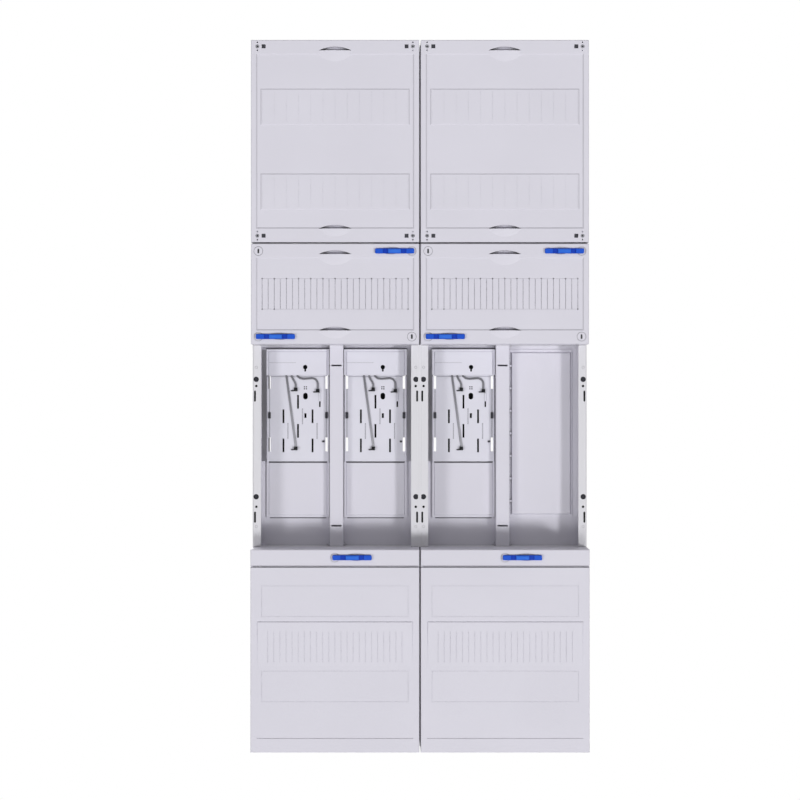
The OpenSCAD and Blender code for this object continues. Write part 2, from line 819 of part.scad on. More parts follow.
// Upper cover with two device fields
module upper_cover(side) {
    rows = [row_low - upper_mid, row_high - upper_mid];
    y_pad = y_upper + panel_sink - pad_rise;
    color(cover_grey)
    in_field(side)
        translate([0, 0, upper_mid])
            difference() {
                union() {
                    difference() {
                        hood(upper_h, y_upper);
                        panel_cut(upper_h, y_upper);
                    }
                    for (z = rows) translate([0, 0, z]) device_pad(y_upper);
                    for (z = grip_levels(upper_h))
                        translate([0, 0, z]) {
                            grip_lip(y_upper);
                            grip_housing(y_upper);
                        }
                    for (x = [-1, 1], z = [-1, 1])
                        translate([x * seal_x, 0, z * seal_z])
                            shaft_boss(seal_shank_d + 2 * boss_wall, y_upper);
                }
                for (z = grip_levels(upper_h)) translate([0, 0, z]) grip_pocket(y_upper);
                for (x = [-1, 1], z = [-1, 1])
                    translate([x * seal_x, 0, z * seal_z]) seal_corner(-x);
                for (z = rows, i = [0 : module_count])
                    translate([(i - module_count / 2) * module_w, 0, z])
                        block(score_w / 2, cutout_h, y_pad + score_d / 4, y_upper - 1);
            }
}

// Breaker cover with a scored row of modules, two levers and two latch screws
module breaker_cover(side) {
    cut_w = module_count * module_w;
    y_floor = y_upper + panel_sink;
    y_hole = y_upper + face_t - score_d;
    color(cover_grey)
    in_field(side)
        translate([0, 0, breaker_mid])
            difference() {
                union() {
                    difference() {
                        hood(breaker_h, y_upper);
                        panel_cut(breaker_h, y_upper);
                    }
                    for (z = grip_levels(breaker_h))
                        translate([0, 0, z]) {
                            grip_lip(y_upper);
                            grip_housing(y_upper);
                        }
                    for (x = [-1, 1], z = [-1, 1])
                        translate([x * latch_x, 0, z * latch_z]) shaft_boss(boss_d, y_upper);
                }
                for (z = grip_levels(breaker_h)) translate([0, 0, z]) grip_pocket(y_upper);
                for (x = [-1, 1], z = [-1, 1])
                    translate([x * latch_x, 0, z * latch_z]) {
                        y_rod(shaft_d + 2 * shaft_fit, 0, y_upper - 1);
                        if (x * z < 0)
                            y_rod(head_d + 2 * head_gap, y_upper + head_t + head_gap, y_upper - 1);
                        else
                            pivot_ring(y_upper);
                    }
                for (way = [1, -1])
                    rotate([0, way > 0 ? 0 : 180, 0])
                        translate([-latch_x, 0, -latch_z]) lever_dish(y_upper, way * dish_lift);
                for (i = [0 : 2 * module_count])
                    translate([(i / 2 - module_count / 2) * module_w, 0, 0])
                        block(score_w, cutout_h, y_floor + score_d, y_upper - 1);
                for (s = [-1, 1])
                    translate([0, 0, s * cutout_h / 2])
                        block(cut_w, score_w / 2, y_floor + score_d / 2, y_upper - 1);
                for (i = [0 : module_count])
                    translate([(i - module_count / 2) * module_w, 0, cutout_h / 2])
                        y_rod(start_hole_d, y_hole, y_upper - 1);
                for (i = [0, 1, module_count])
                    translate([(i - module_count / 2) * module_w, 0, -cutout_h / 2])
                        y_rod(start_hole_d, y_hole, y_upper - 1);
            }
}

// Faintly scored outline of a cut-out, to be cut
module scored_frame(w, h, y_front) {
    panel(y_front + score_d / 2, y_front - 1)
        difference() {
            square([w + score_w, h + score_w], center = true);
            square([w - score_w, h - score_w], center = true);
        }
}

// Lower cover: hood with a seat for the lock strip and a ribbed middle field
module lower_cover(side) {
    z_fields = mid_field_lift;
    row_step = row_pitch / 2;
    y_step = y_lower + strip_t;
    step_h = strip_h + groove_h;
    seat_h = step_h + wall / 2;
    rib_w = mid_field_w - 2 * rib_side;
    rib_pitch = module_w / 2;
    rib_count = floor(rib_w / rib_pitch);
    color(cover_grey)
    in_field(side)
        translate([0, 0, lower_mid])
            difference() {
                union() {
                    hood(lower_h, y_lower);
                    translate([0, 0, z_fields]) mid_field();
                    translate([0, 0, lower_lever_z]) shaft_boss(boss_d, y_step);
                    translate([0, 0, lower_h / 2 - wall / 2 - seat_h / 2])
                        block(cover_w - wall, seat_h, y_step + face_t, y_lower + face_t - eps);
                    for (x = [-1, 1]) translate([x * peg_x, 0, -peg_z]) {
                        shaft_boss(peg_d + 2 * boss_wall, y_lower);
                        y_rod(peg_d, y_rail + sheet_t + shaft_tail, y_lower + face_t);
                    }
                }
                translate([0, 0, lower_h / 2 - step_h / 2])
                    block(2 * cover_w, step_h + eps, y_step, y_lower - 1);
                translate([0, 0, lower_lever_z]) y_rod(shaft_d + 2 * shaft_fit, 0, y_lower - 1);
                for (s = [-1, 1])
                    translate([0, 0, z_fields + s * row_step])
                        scored_frame(module_count * module_w, cutout_h, y_lower);
                for (i = [0 : rib_count])
                    translate([(i - rib_count / 2) * rib_pitch, 0, z_fields])
                        rib_groove();
                translate([0, 0, fold_line_lift - lower_h / 2])
                    block(cover_w - 2 * fold_line_side, score_w, y_lower + score_d, y_lower - 1);
            }
}

// Middle field that stands out at its upper edge and runs flush at its lower edge
module mid_field() {
    rotate([0, -90, 0])
        linear_extrude(mid_field_w, center = true)
            polygon([
                [-mid_field_h / 2, y_lower + eps], [mid_field_h / 2, y_lower + eps],
                [mid_field_h / 2, y_lower], [mid_field_h / 2 - pad_slope, y_lower - mid_field_rise],
                [-mid_field_h / 2, y_lower]
            ]);
}

// Upright groove in the ribbed field, to be cut; its floor follows the field's slope
module rib_groove() {
    slope = atan2(mid_field_rise, mid_field_h);
    translate([0, y_lower - mid_field_rise / 2, 0])
        rotate([slope, 0, 0])
            translate([0, 0, (rib_bottom - rib_top) / 2])
                block(score_w, rib_h, score_d / 2, -mid_field_rise - 1);
}

// Strip across the top of a lower cover that carries its lever
module lock_strip(side) {
    color(cover_grey)
    in_field(side)
        translate([0, 0, lower_mid + lower_lever_z])
            difference() {
                bevel_block(cover_w, strip_h, y_lower + strip_t, y_lower, edge_bevel);
                y_rod(shaft_d + 2 * shaft_fit, 0, y_lower - 1);
                pivot_ring(y_lower);
                lever_dish(y_lower, dish_lift);
            }
}

// Fasteners

// Blue lever on its shaft, with its pivot at the origin's X and Z; y_end is the shaft's tip
module lever(y_front, y_end) {
    l = lever_reach + lever_heel;
    y_back = y_front - lever_gap;
    y_face = y_back - lever_t;
    grip_mid = lever_grip_at + lever_grip_l / 2;
    scoop_step = (lever_grip_l + lever_scoop_l) / 2;
    grip_w_back = lever_w - 2 * lever_bevel;
    color(lever_blue) {
        difference() {
            translate([(lever_reach - lever_heel) / 2, 0, 0])
                intersection() {
                    panel(y_back, y_face) rounded_rect(l, lever_w, 2 * lever_bevel);
                    bevel_block(l, lever_w, y_back, y_face, lever_bevel);
                }
            for (s = [-1, 1])
                translate([grip_mid + s * scoop_step, 0, 0])
                    block(lever_scoop_l, 2 * lever_w, y_face + lever_scoop_d, y_face - 1);
        }
        translate([grip_mid, 0, 0])
            frustum(lever_grip_l - lever_bevel, grip_w_back, y_face + eps,
                lever_grip_l - 3 * lever_bevel, grip_w_back - 2 * lever_bevel, y_face - lever_grip_rise);
        y_rod(shaft_d, y_end, y_back - eps);
    }
}

// Levers of a breaker cover: the upper one points left, the lower one points right
module breaker_lever(side, upper) {
    end = upper ? 1 : -1;
    in_field(side)
        translate([end * latch_x, 0, breaker_mid + end * latch_z])
            rotate([0, upper ? 180 : 0, 0])
                lever(y_upper, y_rail + sheet_t + shaft_tail);
}

// Lever of a lower cover, on the field's middle line
module lower_lever(side) {
    in_field(side)
        translate([0, 0, lower_mid + lower_lever_z])
            lever(y_lower, y_cross + sheet_t + shaft_tail);
}

// Quarter-turn screw with an upright driver slot
module latch_screw(side, upper) {
    end = upper ? 1 : -1;
    color(cover_grey)
    in_field(side)
        translate([-end * latch_x, 0, breaker_mid + end * latch_z])
            difference() {
                union() {
                    y_rod(head_d, y_upper + head_t, y_upper);
                    y_rod(shaft_d, y_rail + sheet_t + shaft_tail, y_upper + head_t / 2);
                }
                panel(y_upper + driver_slot_d, y_upper - 1) obround(driver_slot_w, driver_slot_l);
            }
}

// The four sealing screws of an upper cover
module sealing_screws(side) {
    color(black)
    in_field(side)
        for (x = [-1, 1], z = [-1, 1])
            translate([x * seal_x, 0, upper_mid + z * seal_z]) {
                y_rod(seal_head_d, y_upper + 2 * panel_sink - shaft_fit, y_upper + panel_sink / 2);
                y_rod(seal_shank_d, y_rail + sheet_t + shaft_tail, y_upper + panel_sink);
            }
}

// Meter space

// Gaps in the carrier beside an insert and the grooves at its ends, to be cut; way points to the rail
module insert_gaps(way) {
    x_edge = bay_x + insert_w / 2;
    z_end = z_insert + insert_h;
    translate([way * (x_edge + side_gap_w / 2), 0, (z_plate + z_end) / 2])
        block(side_gap_w, z_end - z_plate, 0, y_carrier - 1);
    translate([way * (x_edge + low_gap_w / 2), 0, (z_plate + z_insert) / 2])
        block(low_gap_w, z_plate - z_insert + eps, 0, y_carrier - 1);
    translate([way * bay_x, 0, z_insert - foot_groove_h / 2])
        block(insert_w - 2 * foot_groove_side, foot_groove_h, y_carrier + foot_groove_d, y_carrier - 1);
    translate([way * bay_x, 0, z_end + foot_groove_h / 2])
        block(insert_w + 2 * bar_gap, foot_groove_h + eps, y_carrier + foot_groove_d, y_carrier - 1);
}

// Carrier frame behind the inserts of a field, with a window in each bay
module meter_carrier(side) {
    w = web_inside - 2 * carrier_gap;
    h = soffit_z - ledge_z;
    color(cover_grey)
    in_field(side)
        difference() {
            translate([0, 0, soffit_z - h / 2]) block(w, h, y_carrier + carrier_t, y_carrier);
            for (bay = [-1, 1])
                translate([bay * bay_x, 0, z_insert + insert_h / 2])
                    block(bay_window_w, insert_h - 2 * insert_seat, 0, y_carrier - 1);
            for (bay = BAYS)
                if (bay[0] == side) insert_gaps(bay[1]);
        }
}

// Upright bar between the two bays of a field, a channel on a wider foot
module middle_bar(side) {
    z_foot = ledge_z;
    h = soffit_z - z_foot;
    foot_w = bar_w + 2 * bar_gap + 2 * insert_seat;
    color(cover_grey)
    in_field(side) {
        translate([0, 0, z_foot + h / 2])
            difference() {
                linear_extrude(h, center = true)
                    polygon(bevel_outline(bar_w, y_carrier, y_bar, edge_bevel));
                block(bar_w - 2 * shell_t, h + 1, y_carrier + 1, y_bar + shell_t);
                for (s = [-1, 1])
                    translate([0, 0, meter_mid - z_foot - h / 2 + s * bar_slot_pitch / 2])
                        panel(y_bar + 2 * shell_t, y_bar - 1) rotate(90) obround(bar_slot_w, bar_slot_l);
            }
        translate([0, 0, z_foot + bar_foot_h / 2])
            difference() {
                block(foot_w, bar_foot_h, y_carrier, y_plate - bar_rise / 2);
                block(bar_w - 2 * shell_t, bar_foot_h + 1, y_carrier + 1, y_bar + shell_t);
            }
    }
}

// Columns of contact slots, as sideways place and height above the plate's lower edge
contacts = [
    for (column = [-1, 0, 1], row = [0, 1])
        [column * contact_pitch, contact_lift - 2 * row * contact_pitch - abs(column) * contact_pitch]
];

// Block on an insert's plate, between two heights
module upright(w, span, y_back, y_front) {
    translate([0, 0, (span[0] + span[1]) / 2]) block(w, span[1] - span[0], y_back, y_front);
}

// Plate that takes a plug-in meter's blades
module meter_plate(bay) {
    lap_w = insert_w - 2 * insert_rim;
    lap_span = [plate_h / 2, plate_h + insert_gap];
    color(plate_grey)
    in_bay(bay)
        difference() {
            union() {
                translate([0, 0, plate_h / 2 - insert_gap])
                    bevel_block(insert_w, plate_h, y_carrier, y_plate, edge_bevel);
                upright(lap_w, lap_span, y_carrier - edge_bevel, y_plate + edge_bevel);
                translate([insert_w / 2 - tongue_edge, 0, 0])
                    upright(tongue_w, tongue_span, y_plate + eps, y_plate - tongue_rise);
            }
            upright(lap_w, [-2 * insert_gap, 0], y_carrier - edge_bevel, y_plate - 1);
            for (place = contacts)
                translate([place[0], 0, place[1]]) block(contact_w, contact_l, 0, y_plate - 1);
            for (column = [-1, 0, 1])
                translate([column * contact_pitch + groove_step, 0,
                        contact_lift - contact_pitch * (1 + abs(column))])
                    block(groove_w, groove_l, y_plate + score_d, y_plate - 1);
            translate([key_at, 0, plate_h - oval_drop]) panel(0, y_plate - 1) obround(oval_w, oval_h);
            translate([key_at, 0, plate_h - slit_drop]) block(slit_w, slit_h, 0, y_plate - 1);
            for (x = [-1, 1], z = [-1, 1])
                translate([key_at + x * dot_step / 2, 0, plate_h - dot_drop + z * dot_step / 2])
                    y_rod(dot_d, 0, y_plate - 1);
            for (s = [-1, 1])
                translate([s * window_x, 0, 0]) {
                    upright(side_window_w, low_window, 0, y_plate - 1);
                    upright(side_window_w, high_window, 0, y_plate - 1);
                    upright(groove_w, [low_window[1], high_window[0]], y_plate + score_d, y_plate - 1);
                }
            translate([insert_w / 2 - tongue_edge, 0, 0]) upright(tongue_w, tongue_slot, 0, y_plate - 1);
        }
}

// Front of an insert's cap: a sunk rim at the sides and at one end, and a raised face
module cap_front(h, rim_way, y_front) {
    face_w = insert_w - 2 * insert_rim;
    face_h = h - insert_rim;
    block(insert_w, h, y_carrier, y_front + panel_sink);
    translate([0, 0, -rim_way * insert_rim / 2])
        frustum(face_w, face_h, y_front + panel_sink + eps,
            face_w - 2 * panel_sink, face_h - 2 * panel_sink, y_front);
}

// Cap over the upper end of an insert, open below for the wires
module shroud(bay) {
    h = shroud_h;
    label_at = insert_rim + label_l / 2 - insert_w / 2;
    color(plate_grey)
    in_bay(bay)
        translate([0, 0, plate_h + h / 2])
            difference() {
                cap_front(h, 1, y_shroud);
                translate([0, 0, -shell_t])
                    block(insert_w - 2 * shell_t, h, y_carrier + 1, y_shroud + shell_t);
                translate([key_at, 0, key_lift - h / 2])
                    panel(0, y_shroud - 1) {
                        circle(d = key_d);
                        translate([0, -key_d / 2]) square([key_neck, key_d], center = true);
                    }
                translate([label_at, 0, label_lift - h / 2])
                    block(label_l, score_w, y_shroud + score_d / 2, y_shroud - 1);
            }
}

// Panel below the meter plate, a shallow tray
module insert_panel(bay) {
    h = insert_h - shroud_h - plate_h - insert_gap;
    color(cover_grey)
    in_bay(bay)
        translate([0, 0, -h / 2 - insert_gap])
            difference() {
                cap_front(h, -1, y_plate);
                block(insert_w - 2 * shell_t, h - 2 * shell_t, y_carrier + 1, y_plate + shell_t);
            }
}

// Blank tray in the bay that holds no meter, with a flange and snap tabs
module blank_panel() {
    face_w = insert_w - 2 * blank_side;
    face_h = insert_h - 2 * blank_end;
    top_w = face_w - 2 * blank_run;
    top_h = face_h - 2 * blank_run;
    y_flange = y_carrier - blank_flange_t;
    tab_s = 2 * blank_flange_t;
    tab_count = floor(insert_h / tab_pitch);
    color(cover_grey)
    translate([field_half + bay_x, 0, z_insert + insert_h / 2])
        difference() {
            union() {
                block(insert_w, insert_h, y_carrier, y_flange);
                frustum(face_w, face_h, y_flange + eps, top_w, top_h, y_plate);
                for (i = [0 : tab_count - 1])
                    translate([(tab_s - insert_w) / 2, 0, (i - (tab_count - 1) / 2) * tab_pitch])
                        block(tab_s, tab_s, y_carrier, y_plate);
            }
            block(top_w - 2 * shell_t, top_h - 2 * shell_t, y_carrier + 1, y_plate + shell_t);
        }
}

// Housings behind the meter plates, open to the front
module contact_housings() {
    span = [housing_lift, plate_h + housing_over];
    inside = [span[0] + shell_t, span[1] - shell_t];
    y_floor = y_carrier + jaw_depth;
    color(black)
    for (bay = BAYS)
        in_bay(bay)
            difference() {
                upright(housing_w, span, y_floor + shell_t, y_carrier);
                upright(housing_w - 2 * shell_t, inside, y_floor, y_carrier - 1);
            }
}

// Pair of spring blades in the housing behind every contact slot
module contact_jaws() {
    color(brass)
    for (bay = BAYS)
        in_bay(bay)
            for (place = contacts, s = [-1, 1])
                translate([place[0] + s * (contact_w / 2 + jaw_t), y_carrier, place[1]])
                    block(jaw_t, contact_l - 2 * jaw_t, jaw_depth, 0);
}

// Terminals on the meter plates, each with a release arm
module terminals() {
    arm_at = eps - (terminal_s + arm_l) / 2;
    color(black)
    for (bay = BAYS)
        in_bay(bay)
            for (place = terminal_places)
                translate([place[0], y_plate, place[1]]) {
                    block(terminal_s, terminal_s, 0, -terminal_rise);
                    translate([arm_at, 0, (arm_h - terminal_s) / 2])
                        block(arm_l, arm_h, 0, -terminal_rise / 2);
                }
}

// Catches at both edges of the meter plates and a small clip beside the right one
module side_catches() {
    color(black)
    for (bay = BAYS)
        in_bay(bay)
            translate([0, y_plate, 0]) {
                for (s = [-1, 1])
                    translate([s * window_x, 0, plate_h - catch_drop])
                        block(catch_w, catch_h, 0, -terminal_rise / 2);
                translate([insert_w / 2 - clip_edge, 0, clip_lift])
                    block(clip_w, clip_h, 0, -terminal_rise / 2);
            }
}

// Wires, swept along their routes in front of the plate

// Ring of points round one point of a route in X and Z
function wire_ring(route, i) = let (
    before = route[max(i - 1, 0)],
    after = route[min(i + 1, len(route) - 1)],
    run = (after - before) / norm(after - before)
) [
    for (k = [0 : wire_sides - 1]) let (
        a = 360 * k / wire_sides,
        out = wire_d / 2 * cos(a),
        up = wire_d / 2 * sin(a)
    ) [route[i][0] - run[1] * out, -up, route[i][1] + run[0] * out]
];

// Tube along a route
module wire(route) {
    n = len(route);
    points = [for (i = [0 : n - 1]) each wire_ring(route, i)];
    sides = [
        for (i = [0 : n - 2], k = [0 : wire_sides - 1]) let (
            m = (k + 1) % wire_sides,
            ring_at = i * wire_sides,
            next_at = ring_at + wire_sides
        ) each [
            [ring_at + k, next_at + k, next_at + m],
            [ring_at + k, next_at + m, ring_at + m]
        ]
    ];
    caps = [
        [for (k = [0 : wire_sides - 1]) k],
        [for (k = [0 : wire_sides - 1]) n * wire_sides - 1 - k]
    ];
    polyhedron(points, concat(sides, caps));
}

// The wires of one insert
module meter_wires(bay) {
    color(wire_grey)
    in_bay(bay)
        translate([0, y_plate - wire_d / 2 - shaft_fit, 0])
            for (route = wire_routes) wire(route);
}

// Busbar space

busbar_levels = [for (i = [0 : busbar_count - 1]) (i - (busbar_count - 1) / 2) * busbar_pitch];
busbar_mid = lower_mid + mid_field_lift;
support_x = field_half - rail_gap / 2 - bend_r - support_w / 2;
y_busbar = y_rail - support_depth + busbar_t;

// The busbars of a field
module busbars(side) {
    l = 2 * support_x + support_w / 2;
    color(copper)
    in_field(side)
        for (z = busbar_levels)
            translate([0, 0, busbar_mid + z])
                block(l, busbar_h, y_busbar, y_busbar - busbar_t);
}

// The two busbar supports of a field, combs that stand on the rails
module busbar_supports(side) {
    h = busbar_count * busbar_pitch;
    color(support_grey)
    in_field(side)
        for (x = [-1, 1])
            translate([x * support_x, 0, busbar_mid])
                difference() {
                    block(support_w, h, y_rail, y_rail - support_depth);
                    for (z = busbar_levels)
                        translate([-x * support_w / 4, 0, z])
                            block(support_w + 2 * busbar_fit, busbar_h + 2 * busbar_fit,
                                y_busbar, y_rail - 2 * support_depth);
                }
}

rail(LEFT, LEFT);  // rail_outer_left
rail(LEFT, RIGHT);  // rail_inner_left
rail(RIGHT, LEFT);  // rail_inner_right
rail(RIGHT, RIGHT);  // rail_outer_right
cross_rail(LEFT, true);  // cross_rail_upper_left
cross_rail(RIGHT, true);  // cross_rail_upper_right
cross_rail(LEFT, false);  // cross_rail_lower_left
cross_rail(RIGHT, false);  // cross_rail_lower_right
device_rail(LEFT, row_high);  // device_rail_top_left
device_rail(LEFT, row_low);  // device_rail_middle_left
device_rail(LEFT, breaker_mid);  // device_rail_breaker_left
device_rail(RIGHT, row_high);  // device_rail_top_right
device_rail(RIGHT, row_low);  // device_rail_middle_right
device_rail(RIGHT, breaker_mid);  // device_rail_breaker_right
upper_cover(LEFT);  // upper_cover_left
upper_cover(RIGHT);  // upper_cover_right
breaker_cover(LEFT);  // breaker_cover_left
breaker_cover(RIGHT);  // breaker_cover_right
lower_cover(LEFT);  // lower_cover_left
lower_cover(RIGHT);  // lower_cover_right
lock_strip(LEFT);  // lock_strip_left
lock_strip(RIGHT);  // lock_strip_right
breaker_lever(LEFT, true);  // breaker_lever_top_left
breaker_lever(LEFT, false);  // breaker_lever_bottom_left
breaker_lever(RIGHT, true);  // breaker_lever_top_right
breaker_lever(RIGHT, false);  // breaker_lever_bottom_right
lower_lever(LEFT);  // lower_lever_left
lower_lever(RIGHT);  // lower_lever_right
latch_screw(LEFT, true);  // latch_screw_top_left
latch_screw(LEFT, false);  // latch_screw_bottom_left
latch_screw(RIGHT, true);  // latch_screw_top_right
latch_screw(RIGHT, false);  // latch_screw_bottom_right
sealing_screws(LEFT);  // sealing_screws_left
sealing_screws(RIGHT);  // sealing_screws_right
meter_carrier(LEFT);  // meter_carrier_left
meter_carrier(RIGHT);  // meter_carrier_right
middle_bar(LEFT);  // middle_bar_left
middle_bar(RIGHT);  // middle_bar_right
meter_plate(BAYS[0]);  // meter_plate_1
meter_plate(BAYS[1]);  // meter_plate_2
meter_plate(BAYS[2]);  // meter_plate_3
shroud(BAYS[0]);  // shroud_1
shroud(BAYS[1]);  // shroud_2
shroud(BAYS[2]);  // shroud_3
insert_panel(BAYS[0]);  // insert_panel_1
insert_panel(BAYS[1]);  // insert_panel_2
insert_panel(BAYS[2]);  // insert_panel_3
meter_wires(BAYS[0]);  // meter_wires_1
meter_wires(BAYS[1]);  // meter_wires_2
meter_wires(BAYS[2]);  // meter_wires_3
contact_housings();
contact_jaws();
terminals();
side_catches();
blank_panel();
busbars(LEFT);  // busbars_left
busbars(RIGHT);  // busbars_right
busbar_supports(LEFT);  // busbar_supports_left
busbar_supports(RIGHT);  // busbar_supports_right
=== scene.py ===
"""Looks of the meter board: materials, small trim, studio and camera, in the CAD frame, in metres."""
import math

import bmesh
import bpy
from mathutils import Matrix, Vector


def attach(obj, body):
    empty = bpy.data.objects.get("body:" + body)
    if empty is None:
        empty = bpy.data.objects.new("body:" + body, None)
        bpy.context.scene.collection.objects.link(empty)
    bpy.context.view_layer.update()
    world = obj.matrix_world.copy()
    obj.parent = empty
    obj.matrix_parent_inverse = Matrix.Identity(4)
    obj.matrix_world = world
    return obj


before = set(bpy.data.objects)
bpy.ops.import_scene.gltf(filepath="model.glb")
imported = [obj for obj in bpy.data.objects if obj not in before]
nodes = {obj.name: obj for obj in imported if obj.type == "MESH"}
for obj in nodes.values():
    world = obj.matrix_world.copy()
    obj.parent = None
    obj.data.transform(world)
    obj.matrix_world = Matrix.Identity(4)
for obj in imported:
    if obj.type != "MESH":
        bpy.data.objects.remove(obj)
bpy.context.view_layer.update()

MM = 0.001


# Places on the board, in millimetres

FIELD_MIDDLE = 125.0
BOARD_EDGE = 249.75
RAIL_EDGE = 0.25
RAIL_FACE = -90.0
RAIL_BACK = -88.0
BEND_R = 3.0
LATCH_FACE = -139.0
BREAKER_LEVER_FACE = -143.3
LOWER_LEVER_FACE = -154.3
LOWER_COVER_FACE = -150.0


# Colours

def linear(r, g, b):
    """sRGB bytes as linear numbers."""
    def one(c):
        c /= 255
        return c / 12.92 if c <= 0.04045 else ((c + 0.055) / 1.055) ** 2.4
    return (one(r), one(g), one(b), 1.0)


def shade(colour, by):
    """A colour times a level."""
    return tuple(c * by for c in colour[:3]) + (1.0,)


def grey(level):
    """A grey of one linear level."""
    return (level, level, level, 1.0)


WHITE = grey(1.0)
COVER = linear(214, 212, 222)
PLATE = linear(217, 216, 226)
RAIL = linear(216, 215, 220)
BLACK = linear(26, 26, 30)
CATCH = linear(62, 62, 68)
SUPPORT = linear(84, 84, 88)
STEEL = linear(150, 150, 156)
COPPER = linear(196, 120, 84)
BRASS = linear(206, 172, 96)


# Materials

# How far painted shade darkens a crevice: share of open surroundings, share of the colour kept
CREVICE = ((0.12, 0.22), (0.34, 0.52), (0.50, 0.88), (0.62, 1.0))
FINE_CREVICE = ((0.12, 0.10), (0.34, 0.28), (0.55, 0.60), (0.80, 0.96), (0.92, 1.0))
CREVICE_REACH = 6.0 * MM
CREVICE_RAYS = 12
# Part of a noise pattern that is spread over the whole range of tones
NOISE_SPAN = (0.3, 0.7)
# How far the slopes around panels and the bevels of panels lean away from the front, where they take painted
# shade
SLOPE_LEAN = (0.30, 0.60)
BEVEL_LEAN = (0.55, 0.85)
LEAN_EDGE = 0.10
# Patterns of moulded plastic, in repeats to the metre, and the depth of its grain
CLOUD_SCALE = 9.0
PATCH_SCALE = 140.0
GRAIN_SCALE = 2600.0
GRAIN_STRENGTH = 0.035
GRAIN_DEPTH = 0.2 * MM


class Nodes:
    """Short-hand for one material's node tree."""

    def __init__(self, name):
        self.material = bpy.data.materials.new(name)
        self.material.use_nodes = True
        self.tree = self.material.node_tree
        self.shader = self.tree.nodes["Principled BSDF"]
        self.place = self.add("ShaderNodeTexCoord").outputs["Object"]

    def add(self, kind, **values):
        node = self.tree.nodes.new(kind)
        for key, value in values.items():
            setattr(node, key, value)
        return node

    def link(self, a, b):
        self.tree.links.new(a, b)

    def stretch(self, x, y, z):
        """Object coordinates scaled along each axis."""
        node = self.add("ShaderNodeMapping")
        node.inputs["Scale"].default_value = (x, y, z)
        self.link(self.place, node.inputs["Vector"])
        return node.outputs["Vector"]

    def noise(self, scale, detail=2.0, vector=None):
        node = self.add("ShaderNodeTexNoise")
        node.inputs["Scale"].default_value = scale
        node.inputs["Detail"].default_value = detail
        self.link(vector or self.place, node.inputs["Vector"])
        return node.outputs["Fac"]

    def cells(self, scale):
        node = self.add("ShaderNodeTexVoronoi")
        node.inputs["Scale"].default_value = scale
        self.link(self.place, node.inputs["Vector"])
        return node.outputs["Color"]

    def ramp(self, source, stops):
        node = self.add("ShaderNodeValToRGB")
        ramp = node.color_ramp
        while len(ramp.elements) < len(stops):
            ramp.elements.new(0.5)
        for element, (at, colour) in zip(ramp.elements, stops):
            element.position = at
            element.color = colour
        self.link(source, node.inputs["Fac"])
        return node.outputs["Color"]

    def tones(self, source, low, high):
        """A colour that runs between two tones as a noise pattern does."""
        return self.ramp(source, tuple(zip(NOISE_SPAN, (low, high))))

    def span(self, source, low, high, to_low, to_high):
        node = self.add("ShaderNodeMapRange")
        for key, value in (("From Min", low), ("From Max", high), ("To Min", to_low), ("To Max", to_high)):
            node.inputs[key].default_value = value
        self.link(source, node.inputs["Value"])
        return node.outputs["Result"]

    def part(self, vector, letter):
        """One axis of a vector."""
        node = self.add("ShaderNodeSeparateXYZ")
        self.link(vector, node.inputs["Vector"])
        return node.outputs[letter]

    def axis(self, letter):
        """One axis of the place in the object's own frame."""
        return self.part(self.place, letter)

    def facing(self, letter):
        """One axis of the way that the surface faces, in the object's own frame."""
        return self.part(self.add("ShaderNodeTexCoord").outputs["Normal"], letter)

    def mix(self, factor, a, b, blend="MIX"):
        node = self.add("ShaderNodeMix", data_type="RGBA", blend_type=blend)
        if isinstance(factor, float):
            node.inputs["Factor"].default_value = factor
        else:
            self.link(factor, node.inputs["Factor"])
        for socket, value in (("A", a), ("B", b)):
            target = [s for s in node.inputs if s.name == socket and s.type == "RGBA"][0]
            if isinstance(value, tuple):
                target.default_value = value
            else:
                self.link(value, target)
        return [s for s in node.outputs if s.type == "RGBA"][0]

    def times(self, a, b):
        return self.mix(1.0, a, b, "MULTIPLY")

    def maths(self, operation, a, b=None):
        node = self.add("ShaderNodeMath", operation=operation)
        self.link(a, node.inputs[0])
        if b is not None:
            self.link(b, node.inputs[1])
        return node.outputs[0]

    def band(self, source, low, high, edge):
        """1 where the source lies between two values, 0 outside, with soft edges."""
        return self.maths("MULTIPLY", self.span(source, low, low + edge, 0.0, 1.0),
                          self.span(source, high - edge, high, 1.0, 0.0))

    def shaded(self, socket, reach=CREVICE_REACH, steps=CREVICE):
        """A colour darkened by painted shade in slots, holes and seams narrower than the reach."""
        node = self.add("ShaderNodeAmbientOcclusion", samples=CREVICE_RAYS)
        node.inputs["Distance"].default_value = reach
        return self.times(socket, self.ramp(node.outputs["AO"], [(at, grey(level)) for at, level in steps]))

    def dimmed(self, socket, where, level):
        """The colour times a level, where a mask is 1."""
        return self.mix(where, socket, self.times(socket, grey(level)))

    def slope_shaded(self, socket, level):
        """Painted shade on shallow slopes which lean up or sideways, as around panels and pads, where less
        light falls.
        """
        lean = self.maths("MAXIMUM", self.maths("ABSOLUTE", self.facing("X")), self.facing("Z"))
        return self.dimmed(socket, self.band(lean, *SLOPE_LEAN, LEAN_EDGE), level)

    def bevel_shaded(self, socket, level):
        """Painted shade on bevels which look up, where a panel lies under the edge above it."""
        return self.dimmed(socket, self.band(self.facing("Z"), *BEVEL_LEAN, LEAN_EDGE), level)

    def colour(self, socket):
        self.link(socket, self.shader.inputs["Base Color"])

    def rough(self, source, low, high):
        self.link(self.span(source, *NOISE_SPAN, low, high), self.shader.inputs["Roughness"])

    def bump(self, height, strength, depth=GRAIN_DEPTH):
        node = self.add("ShaderNodeBump")
        node.inputs["Strength"].default_value = strength
        node.inputs["Distance"].default_value = depth
        self.link(height, node.inputs["Height"])
        self.link(node.outputs["Normal"], self.shader.inputs["Normal"])

    def gloss(self, level):
        self.shader.inputs["Specular IOR Level"].default_value = level

